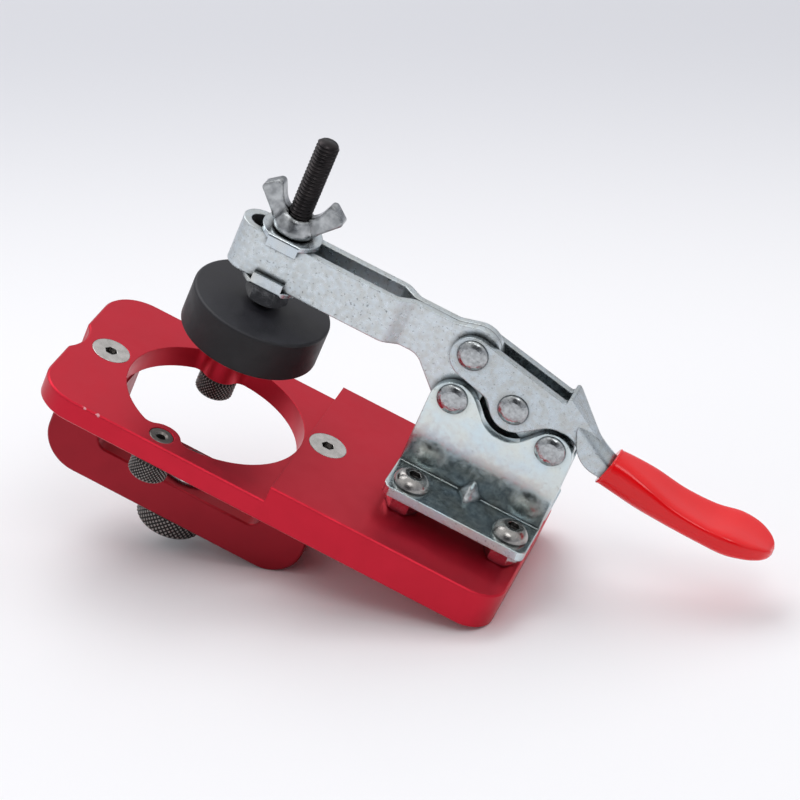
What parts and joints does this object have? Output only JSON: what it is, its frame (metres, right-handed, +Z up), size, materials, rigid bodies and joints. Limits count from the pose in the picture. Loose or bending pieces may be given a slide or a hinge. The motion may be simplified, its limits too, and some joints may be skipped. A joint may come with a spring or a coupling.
{
  "type": "hinge drilling jig",
  "caption": "Clamp-on hinge drilling jig: red anodised plate with a big hole and a guide bridge under it, and a toggle clamp with a sliding rubber pad above.",
  "frame": {"origin": "centre of the outline, on the surface that the jig rests on", "axes": "+X from the plate's notched end towards the handle, +Y across the plate, +Z up. The plate slopes down towards the handle by 23.8 degrees, as the jig rests on its bridge and on the plate's rear edge."},
  "size_m": [0.1856, 0.0582, 0.1142],
  "materials": {
    "anodised_plate": "red anodised, satin",
    "anodised_bridge": "red anodised, satin",
    "zinc_plate": "bright zinc plated sheet steel",
    "stainless_screws": "stainless steel, turned",
    "bush_steel": "ground steel",
    "bushing_steel": "hardened steel, dark, knurled head",
    "black_steel": "black oxide steel",
    "rivet_steel": "zinc plated rivet steel",
    "wing_zinc": "bright zinc plated",
    "rubber_pad": "matt rubber",
    "vinyl_grip": "dipped soft vinyl, glossy"
  },
  "bodies": {
    "jig": {"base_plate": "anodised_plate", "guide_bridge": "anodised_bridge", "bridge_screw_1": "stainless_screws", "bridge_screw_2": "stainless_screws", "guide_bush": "bush_steel", "clamp_base_near": "zinc_plate", "clamp_base_far": "zinc_plate", "arm_rivet": "rivet_steel", "base_rivet": "rivet_steel", "base_screw_1": "stainless_screws", "base_screw_2": "stainless_screws", "base_screw_3": "stainless_screws", "base_screw_4": "stainless_screws", "spacer_nut_1": "black_steel", "spacer_nut_2": "black_steel", "spacer_nut_3": "black_steel", "spacer_nut_4": "black_steel"},
    "arm": {"clamp_arm": "zinc_plate"},
    "handle_body": {"handle": "zinc_plate", "grip": "vinyl_grip", "handle_rivet": "rivet_steel", "link_rivet_near": "rivet_steel", "link_rivet_far": "rivet_steel"},
    "link_body": {"link": "zinc_plate"},
    "carriage": {"upper_washer": "zinc_plate", "lower_washer": "zinc_plate"},
    "spindle_body": {"spindle": "black_steel", "pad": "rubber_pad"},
    "wing_nut_body": {"wing_nut": "wing_zinc"},
    "hex_nut_body": {"hex_nut": "black_steel"},
    "collar_body": {"knurled_collar": "black_steel"},
    "pilot_near_body": {"pilot_bushing_near": "bushing_steel"},
    "pilot_far_body": {"pilot_bushing_far": "bushing_steel"}
  },
  "joints": [
    {"name": "arm_open", "type": "hinge", "parent": "jig", "child": "arm", "pos_m": [0.0132, 0.0035, 0.04994], "axis": [0, 1, 0], "range_deg": [0, 75]},
    {"name": "handle_fold", "type": "hinge", "parent": "arm", "child": "handle_body", "pos_m": [0.01856, 0.0035, 0.06212], "axis": [0, 1, 0], "range_deg": [-140, 0]},
    {"name": "link_turn", "type": "hinge", "parent": "jig", "child": "link_body", "pos_m": [0.03799, 0.0035, 0.03849], "axis": [0, 1, 0], "range_deg": [0, 65]},
    {"name": "carriage_slide", "type": "slide", "parent": "arm", "child": "carriage", "axis": [0.9153, 0, -0.4028], "range_m": [-0.0076, 0.017]},
    {"name": "spindle_height", "type": "slide", "parent": "carriage", "child": "spindle_body", "axis": [-0.4028, 0, -0.9153], "range_m": [-0.0012, 0.0154]},
    {"name": "wing_turn", "type": "hinge", "parent": "carriage", "child": "wing_nut_body", "pos_m": [-0.028, 0.0035, 0.08938], "axis": [0.4028, 0, 0.9153], "continuous": true},
    {"name": "nut_turn", "type": "hinge", "parent": "carriage", "child": "hex_nut_body", "pos_m": [-0.03429, 0.0035, 0.07511], "axis": [0.4028, 0, 0.9153], "continuous": true},
    {"name": "collar_turn", "type": "hinge", "parent": "jig", "child": "collar_body", "pos_m": [-0.0626, 0, 0.01152], "axis": [0.4028, 0, 0.9153], "continuous": true},
    {"name": "pilot_near_turn", "type": "hinge", "parent": "jig", "child": "pilot_near_body", "pos_m": [-0.05774, -0.024, 0.03746], "axis": [0.4028, 0, 0.9153], "continuous": true},
    {"name": "pilot_far_turn", "type": "hinge", "parent": "jig", "child": "pilot_far_body", "pos_m": [-0.05774, 0.024, 0.03746], "axis": [0.4028, 0, 0.9153], "continuous": true}
  ],
  "couplings": [
    {"joint": "handle_fold", "follows": "arm_open", "ratio": -1.8653},
    {"joint": "link_turn", "follows": "arm_open", "ratio": 0.861}
  ]
}
